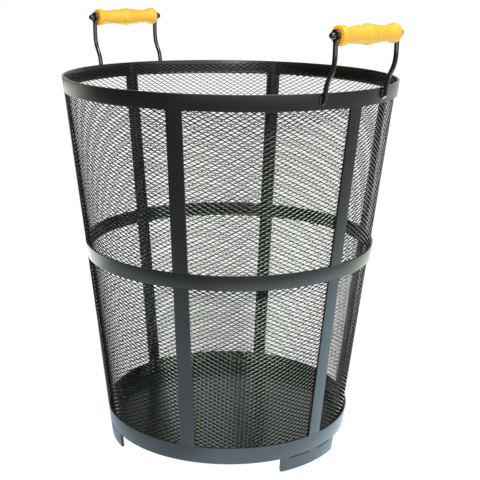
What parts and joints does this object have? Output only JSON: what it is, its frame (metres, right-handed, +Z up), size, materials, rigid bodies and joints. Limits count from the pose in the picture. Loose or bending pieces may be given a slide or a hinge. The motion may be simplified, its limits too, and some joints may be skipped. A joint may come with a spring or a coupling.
{
  "type": "log bin",
  "caption": "Tall round tapered log bin of black flat steel bar lined with expanded-metal mesh, with a sheet floor, low feet and fixed side handles with turned wooden grips.",
  "frame": {"origin": "on the floor under the middle of the bin", "axes": "+Z up along the bin's own axis, +X through the first upright and the right handle"},
  "size_m": [0.4928, 0.45, 0.5889],
  "materials": {
    "bar_steel": "satin black powder coat",
    "mesh_steel": "satin black powder coat",
    "rod_steel": "gloss black",
    "grip_wood": "clear varnish"
  },
  "bodies": {
    "frame": {"rim_band": "bar_steel", "mid_band": "bar_steel", "base_band": "bar_steel", "base_plate": "bar_steel", "upper_upright_1": "bar_steel", "upper_upright_2": "bar_steel", "upper_upright_3": "bar_steel", "upper_upright_4": "bar_steel", "upper_upright_5": "bar_steel", "upper_upright_6": "bar_steel", "lower_upright_1": "bar_steel", "lower_upright_2": "bar_steel", "lower_upright_3": "bar_steel", "lower_upright_4": "bar_steel", "lower_upright_5": "bar_steel", "lower_upright_6": "bar_steel", "mesh_panel_1": "mesh_steel", "mesh_panel_2": "mesh_steel", "mesh_panel_3": "mesh_steel", "mesh_panel_4": "mesh_steel", "mesh_panel_5": "mesh_steel", "mesh_panel_6": "mesh_steel", "foot_1": "bar_steel", "foot_2": "bar_steel", "foot_3": "bar_steel", "right_leg_front": "rod_steel", "right_leg_back": "rod_steel", "right_cap_front": "rod_steel", "right_cap_back": "rod_steel", "right_spindle": "rod_steel", "left_leg_front": "rod_steel", "left_leg_back": "rod_steel", "left_cap_front": "rod_steel", "left_cap_back": "rod_steel", "left_spindle": "rod_steel"},
    "grip_right": {"right_grip": "grip_wood"},
    "grip_left": {"left_grip": "grip_wood"}
  },
  "joints": [
    {"name": "right_grip_spin", "type": "hinge", "parent": "frame", "child": "grip_right", "pos_m": [0.234, 0, 0.5765], "axis": [0, 1, 0], "continuous": true},
    {"name": "left_grip_spin", "type": "hinge", "parent": "frame", "child": "grip_left", "pos_m": [-0.234, 0, 0.5765], "axis": [0, 1, 0], "continuous": true}
  ]
}
